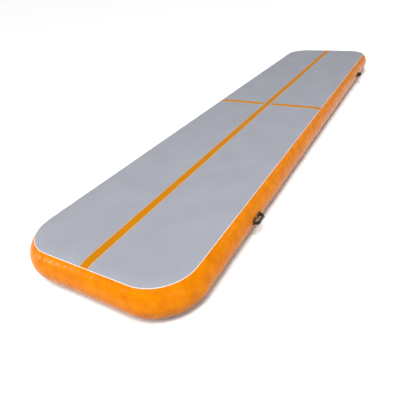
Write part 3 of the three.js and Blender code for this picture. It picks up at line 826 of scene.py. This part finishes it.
def add_stitch(points, faces, along, y, sign):
    """One loop of thread through three places (along, angle): a bowed six-sided strand."""
    centres = []
    for (u, angle), bow in zip(along, (-0.15, 0.25, -0.15)):
        radius = WALL_R + SOLE_LIFT + SOLE / 2 + bow * MM
        inset = WALL_R - radius * math.cos(angle)
        centres.append(np.array([sign * (WIDE_X - inset), y + u, MIDDLE + radius * math.sin(angle)]))
    ahead = centres[2] - centres[0]
    ahead /= np.linalg.norm(ahead)
    up = np.array([sign * math.cos(along[1][1]), 0, math.sin(along[1][1])])
    side = np.cross(ahead, up)
    start = len(points)
    for centre, size in zip(centres, (0.22, 0.38, 0.22)):
        for k in range(6):
            turn = k * math.pi / 3
            points.append(centre + size * MM * (math.cos(turn) * side + math.sin(turn) * up))
    for ring in (0, 1):
        for k in range(6):
            a, b = start + ring * 6 + k, start + ring * 6 + (k + 1) % 6
            faces.append((a, b, b + 6, a + 6))
    faces.append(tuple(start + k for k in range(6)))
    faces.append(tuple(start + 12 + k for k in reversed(range(6))))


def lathe(name, profile, centre, material, segments=96, shape=None, sharp=35):
    """Turns [radius, distance along +Y] about a line. shape(radius, along, angle) may change the radius."""
    profile = np.array(profile, float)
    angle = 2 * math.pi * np.arange(segments) / segments
    radius = np.broadcast_to(profile[None, :, 0], (segments, len(profile))).copy()
    along = np.broadcast_to(profile[None, :, 1], (segments, len(profile)))
    if shape:
        radius = shape(radius, along, angle[:, None])
    points = np.stack([centre[0] + radius * np.cos(angle)[:, None], centre[1] + along,
                       centre[2] + radius * np.sin(angle)[:, None]], -1)
    count = len(profile)
    merged = np.arange(segments * count).reshape(segments, count)
    on_axis = profile[:, 0] < 1e-9
    merged[:, on_axis] = np.nonzero(on_axis)[0]
    faces = []
    for k in range(segments):
        ahead = (k + 1) % segments
        for i in range(count):
            j = (i + 1) % count
            faces.append([merged[k, i], merged[ahead, i], merged[ahead, j], merged[k, j]])
    return finish_mesh(name, points, faces, [material], sharp=sharp)


def rounded(profile, radius):
    """A closed profile with each corner off the axis turned into a small arc."""
    out = []
    count = len(profile)
    for i in range(count):
        before, here, after = (np.array(profile[(i + k) % count], float) for k in (-1, 0, 1))
        if here[0] < 1e-9:
            out.append(here)
            continue
        to_before, to_after = before - here, after - here
        reach = min(radius, np.linalg.norm(to_before) / 2.2, np.linalg.norm(to_after) / 2.2)
        start = here + to_before / np.linalg.norm(to_before) * reach
        end = here + to_after / np.linalg.norm(to_after) * reach
        for t in np.linspace(0, 1, 4):
            out.append((1 - t) ** 2 * start + 2 * t * (1 - t) * here + t**2 * end)
    return out


GRIP_DEEP, GRIP_HALF, GRIP_TALL = (box_half("handle_near_right_grip", axis) for axis in (X, Y, Z))
SLOT_TALL = 10.6 * MM  # half sizes of the slot for the webbing
SLOT_DEEP = 2.2 * MM
RING_PITCH = 6 * MM


def oval(radius, along, angle):
    """Turns a grip's round profile into its oval one, and its bore into the strap's slot."""
    bore = radius <= SLOT_TALL
    tall = np.where(bore, SLOT_TALL, radius)
    deep = np.where(bore, SLOT_DEEP, GRIP_DEEP - (GRIP_TALL - radius))
    return tall * deep / np.sqrt((tall * np.cos(angle)) ** 2 + (deep * np.sin(angle)) ** 2)


def build_grip(name, centre):
    """A hollow rubber sleeve with rounded, slightly flared ends and ring grooves."""
    steps = np.linspace(-GRIP_HALF, GRIP_HALF, 121)
    reach = np.abs(steps) / GRIP_HALF
    flare = np.clip((reach - 0.86) / 0.14, 0, 1)
    groove = 0.5 - 0.5 * np.cos(2 * math.pi * (steps + GRIP_HALF) / RING_PITCH)
    outer = GRIP_TALL - 0.9 * MM - 0.7 * MM * (reach < 0.84) * (1 - groove**0.6)
    outer = outer + 0.8 * MM * np.sin(flare * math.pi / 2)
    outer = outer - 0.9 * MM * np.clip((reach - 0.97) / 0.03, 0, 1) ** 2
    profile = [(r, d) for r, d in zip(outer, steps)] + [(SLOT_TALL, GRIP_HALF), (SLOT_TALL, -GRIP_HALF)]
    return lathe(name, profile, centre, GRIP_RUBBER, 64, shape=oval)


patches = {"right": [], "left": []}
for side, (sign, place) in SIDES.items():
    for along in ("near", "far"):
        tag = f"handle_{along}_{side}"
        y = box_middle(f"{tag}_grip", Y)
        for end in ("a", "b"):
            node_name = f"{tag}_patch_{end}"
            made = wall_patch(f"{tag}_base_{end}", place(box_middle(node_name, Y)), box_half(node_name, Y),
                              PATCH_ANGLE, PATCH_RISE, PATCH_CORNER)
            settle(made, "mat", "wall_pvc", node_name)
            patches[side].append(made)
        strap = build_strap(f"{tag}_webbing", y, sign)
        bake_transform(strap)
        settle(strap, None, "webbing", f"{tag}_strap", f"{tag}_anchor_a", f"{tag}_anchor_b")
        settle(build_stitches(f"{tag}_stitching", y, sign), "mat", "webbing")
        sleeve = build_grip(f"{tag}_sleeve", (sign * (WIDE_X + CORE_OUT), y, MIDDLE))
        settle(sleeve, tag, "grip_rubber", f"{tag}_grip")

# ---------- air valve ----------
VALVE_FRONT = WIDE_Y
VALVE = (0.0, VALVE_FRONT, MIDDLE)
PAD_FRONT = 2.5 * MM  # its flat part stands out this far
PAD_FLAT = 30.4 * MM  # radius of that part
PAD_SLOPE = 3.6 * MM  # width of the slope round it


def mm(profile):
    """A profile in millimetres as one in metres."""
    return [(r * MM, d * MM) for r, d in profile]


def build_pad():
    """A round of coated fabric welded on the wall: flat under the flange, then down to the wall."""
    steps = 96
    turns = 2 * math.pi * np.arange(steps + 1) / steps
    radii = np.array([24, 26, 28, 30.4, 31.4, 32.4, 33.3, 34]) * MM
    over, under = np.zeros((steps + 1, len(radii), 3)), np.zeros((steps + 1, len(radii), 3))
    for j, r in enumerate(radii):
        x, z = r * np.cos(turns), r * np.sin(turns)
        wall = VALVE_FRONT - WALL_R + np.sqrt(WALL_R**2 - z**2)
        blend = np.clip((r - PAD_FLAT) / PAD_SLOPE, 0, 1)
        front = VALVE_FRONT + PAD_FRONT
        over[:, j] = np.stack([x, front * (1 - blend) + (wall + PATCH_RISE) * blend, MIDDLE + z], -1)
        under[:, j] = np.stack([x, wall + CONTACT, MIDDLE + z], -1)
    uv = np.stack([over[..., 0], over[..., 2]], -1)
    count = len(radii)
    faces = [tuple(i % (steps * count) for i in face) for face in grid_faces(steps + 1, count)]
    return thick("valve_patch", over, under, faces, [WALL_PVC], uv=uv, sharp=60)


pad = build_pad()
body = lathe("valve_housing", rounded(mm([(15, -42), (20, -42), (20, 2.8), (30, 2.8), (30, 5.8), (22, 5.8),
                                          (22, 16), (15, 16)]), 0.8 * MM), VALVE, PLASTIC)


def knurled(radius, along, angle):
    """36 shallow grips round the cap's rim."""
    rim = (radius > 26.2 * MM) & (along > 12.8 * MM) & (along < 18.6 * MM)
    return np.where(rim, radius - 0.45 * MM * (0.5 - 0.5 * np.cos(36 * angle)), radius)


cap_profile = rounded(mm([(0, 16.4), (22.4, 16.4), (22.4, 7.9), (27, 7.9), (27, 9.2), (25.2, 9.2),
                          (25.2, 12.6), (27, 12.6), (27, 18.9), (25.9, 20), (0, 20)]), 0.5 * MM)
cap = lathe("valve_cover", cap_profile, VALVE, PLASTIC, 216, shape=knurled)
cap_ring_profile = rounded(mm([(25.5, 9.6), (29, 9.6), (29, 12.2), (25.5, 12.2)]), 1.0 * MM)
cap_ring = lathe("valve_cover_ring", cap_ring_profile, VALVE, RUBBER)


def build_bar():
    """The finger bar across the cap: a bevelled block that widens to its ends."""
    length, width = 42 * MM, 6 * MM
    build = bmesh.new()
    bmesh.ops.create_cube(build, size=1)
    bmesh.ops.scale(build, vec=(length, width, width), verts=build.verts)
    ends = [e for e in build.edges if abs(e.verts[0].co.x - e.verts[1].co.x) > length / 2]
    bmesh.ops.subdivide_edges(build, edges=ends, cuts=8, use_grid_fill=True)
    for v in build.verts:
        v.co.z *= 0.72 + 0.28 * (2 * v.co.x / length) ** 2
        if v.co.y > 0:
            v.co.z *= 0.85
    bmesh.ops.bevel(build, geom=[e for e in build.edges if e.calc_face_angle(0) > 0.8], offset=1.0 * MM,
                    segments=3, affect="EDGES")
    bmesh.ops.translate(build, vec=(0, VALVE_FRONT + 22.4 * MM, MIDDLE), verts=build.verts)
    mesh = bpy.data.meshes.new("valve_cover_bar")
    build.to_mesh(mesh)
    build.free()
    mesh.materials.append(PLASTIC)
    return add_object("valve_cover_bar", mesh, 40)


def build_tether_band():
    """A moulded band that hangs from the ring under the cap and comes back up to the cap's ring."""
    down = [(6.8, -23.5), (6.8, -27), (6.8, -31), (6.9, -34)]
    bend = [(8.9 - 2.0 * math.cos(a), -34.6 - 2.4 * math.sin(a)) for a in np.linspace(0.3, math.pi - 0.3, 9)]
    up = [(11.0, -34), (11.0, -31), (11.0, -29.2), (11.0, -28.2)]
    path = np.array(down + bend + up) * MM
    away = sideways(path)
    columns = np.array([-3, -2.7, -1.5, 0, 1.5, 2.7, 3]) * MM
    crown = np.array([0.45, 0.85, 1, 1, 1, 0.85, 0.45]) * 0.7 * MM
    layers = []
    for way in (1, -1):
        flat = path[:, None, :] + way * away[:, None, :] * crown[None, :, None]
        x = np.broadcast_to(columns[None, :], flat.shape[:2])
        layers.append(np.stack([x, VALVE_FRONT + flat[..., 0], MIDDLE + flat[..., 1]], -1))
    blank = np.zeros(layers[0].shape[:2] + (2,))
    return block("valve_leash", layers[0], layers[1], [RUBBER], uv=blank, sharp=50)


bar = build_bar()
anchor_profile = rounded(mm([(22.3, 6.1), (25, 6.1), (25, 7.5), (22.3, 7.5)]), 0.6 * MM)
anchor_ring = lathe("valve_leash_ring", anchor_profile, VALVE, RUBBER)
leash = build_tether_band()
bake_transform(leash)

SPRING_LOW, SPRING_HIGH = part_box("valve_spring")
SPRING_LENGTH = SPRING_HIGH.y - SPRING_LOW.y


def build_spring():
    """The stem's return spring: a wire coil between the guide and the button."""
    wire, turns, sides = 0.7 * MM, 5, 10
    coil = (SPRING_HIGH.x - SPRING_LOW.x) / 2 - wire
    t = np.linspace(0, 1, turns * 24 + 1)
    angle = 2 * math.pi * turns * t
    out = np.stack([np.cos(angle), 0 * t, np.sin(angle)], -1)
    rise = SPRING_LOW.y + wire + (SPRING_LENGTH - 2 * wire) * t
    centre = coil * out + np.stack([0 * t, rise, MIDDLE + 0 * t], -1)
    section = 2 * math.pi * np.arange(sides) / sides
    points = centre[:, None] + wire * np.cos(section)[None, :, None] * out[:, None]
    points[..., 1] += wire * np.sin(section)
    last = (len(t) - 1) * sides
    faces = [(k + i, k + (i + 1) % sides, k + sides + (i + 1) % sides, k + sides + i)
             for k in range(0, last, sides) for i in range(sides)]
    faces += [tuple(range(sides)), tuple(last + i for i in reversed(range(sides)))]
    return finish_mesh("valve_coil", points, faces, [STEEL], sharp=60)


spring = build_spring()
settle(spring, "mat", "spring_steel", "valve_spring")
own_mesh(spring)

# ---------- which body each piece goes with ----------
settle(top, "mat", "top_pvc", "top_sheet")
settle(base, "mat", "base_pvc", "bottom_sheet")
for where, piece in walls.items():
    settle(piece, "mat", "wall_pvc", f"{'side' if where in SIDES else 'end'}_wall_{where}")
for tag, piece in splices.items():
    settle(piece, "mat", "wall_pvc", f"splice_strip_{tag}")
settle(centre, "mat", "stripe_pvc", "centre_stripe")
for side, piece in cross.items():
    settle(piece, "mat", "stripe_pvc", f"cross_stripe_{side}")
settle(pad, "mat", "wall_pvc", "valve_pad")
settle(body, "mat", "valve_plastic", "valve_body")
settle(anchor_ring, "mat", "valve_rubber")
settle(leash, None, "valve_rubber", "valve_tether")
settle(cap, "valve_cap", "valve_plastic", "valve_cap")
settle(bar, "valve_cap", "valve_plastic")
settle(cap_ring, "valve_cap_ring", "valve_rubber", "valve_cap_ring")

# ---------- CAD nodes that stay: inside the cushion and the valve ----------
INNER_FINISH = {"drop_stitch": YARN, "seam_tape": TAPE, "valve_gasket": RUBBER, "valve_seal": RUBBER,
                "valve_nut": PLASTIC, "valve_stem": PLASTIC}
for name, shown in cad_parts.items():
    for start, finish in INNER_FINISH.items():
        if name.startswith(start):
            for socket in shown.material_slots:
                socket.material = finish

# ---------- floor, light and camera ----------
FLOOR = 60.0  # half of its side
FLOOR_DROP = 0.2 * MM  # the floor is this far below the mat, so that their faces don't coincide
floor_mesh = bpy.data.meshes.new("floor")
floor_corners = [(x * FLOOR, y * FLOOR, 0) for x, y in ((-1, -1), (1, -1), (1, 1), (-1, 1))]
floor_mesh.from_pydata(floor_corners, [], [(0, 1, 2, 3)])
floor = bpy.data.objects.new("floor", floor_mesh)
bpy.context.scene.collection.objects.link(floor)
floor.location.z = -FLOOR_DROP
floor_paint, _, floor_shader = surface("floor", Roughness=0.9, Specular_IOR_Level=0.1)
floor_shader.inputs["Base Color"].default_value = (0.96, 0.96, 0.96, 1)
floor_mesh.materials.append(floor_paint)

world = bpy.data.worlds.new("studio")
bpy.context.scene.world = world
world.use_nodes = True
background = world.node_tree.nodes["Background"]
background.inputs["Color"].default_value = (1, 1, 1, 1)
background.inputs["Strength"].default_value = 0.36


def lamp(name, kind, energy):
    """A light and its object."""
    light = bpy.data.lights.new(name, kind)
    light.energy = energy
    holder = bpy.data.objects.new(name, light)
    bpy.context.scene.collection.objects.link(holder)
    return light, holder


def softbox(name, way, distance, size, power, aim):
    """An area light that stands away from the aim point in a direction and faces it."""
    light, holder = lamp(name, "AREA", power)
    light.shape = "RECTANGLE"
    light.size, light.size_y = size
    holder.location = Vector(aim) + Vector(way).normalized() * distance
    holder.rotation_euler = (Vector(aim) - holder.location).to_track_quat("-Z", "Y").to_euler()


def sun(name, way, spread_degrees, strength):
    """A distant light from a direction; its spread softens the shadows."""
    light, holder = lamp(name, "SUN", strength)
    light.angle = math.radians(spread_degrees)
    holder.rotation_euler = (-Vector(way)).to_track_quat("-Z", "Y").to_euler()


sun("sky", (-0.05, -0.4, 1), 35, 2.3)
softbox("key", (0.25, -0.35, 0.85), 5.5, (1.8, 1.4), 165, aim=(0.15, -1.2, 0.2))
softbox("fill", (0.8, -0.55, 0.35), 3.5, (1.4, 1.0), 22, aim=(0.5, -1.7, 0.1))
softbox("streak", (-0.755, -0.609, 0.25), 4.0, (0.9, 0.25), 55, aim=(-0.35, -2.2, 0.16))
softbox("rim", (0.56, 0.74, 0.30), 6.5, (4.0, 0.25), 30, aim=(0.4, -0.6, 0.15))

CAMERA_EYE = Vector((1.104, -2.915, 1.233))
CAMERA_AZIMUTH, CAMERA_ELEVATION, CAMERA_ROLL = (math.radians(a) for a in (31.77, 33.79, -5.67))
CAMERA_LENS = 31.216
ahead = Vector((-math.sin(CAMERA_AZIMUTH) * math.cos(CAMERA_ELEVATION),
                math.cos(CAMERA_AZIMUTH) * math.cos(CAMERA_ELEVATION), -math.sin(CAMERA_ELEVATION)))
level = Vector((math.cos(CAMERA_AZIMUTH), math.sin(CAMERA_AZIMUTH), 0))
upright = level.cross(ahead)
right = math.cos(CAMERA_ROLL) * level + math.sin(CAMERA_ROLL) * upright
up = math.cos(CAMERA_ROLL) * upright - math.sin(CAMERA_ROLL) * level
camera_data = bpy.data.cameras.new("camera")
camera_data.lens = CAMERA_LENS
camera_data.sensor_width = 36
camera_data.clip_end = 200
camera = bpy.data.objects.new("camera", camera_data)
bpy.context.scene.collection.objects.link(camera)
camera.matrix_world = Matrix.Translation(CAMERA_EYE) @ Matrix((right, up, -ahead)).transposed().to_4x4()
bpy.context.scene.camera = camera
bpy.context.scene.view_settings.view_transform = "Standard"
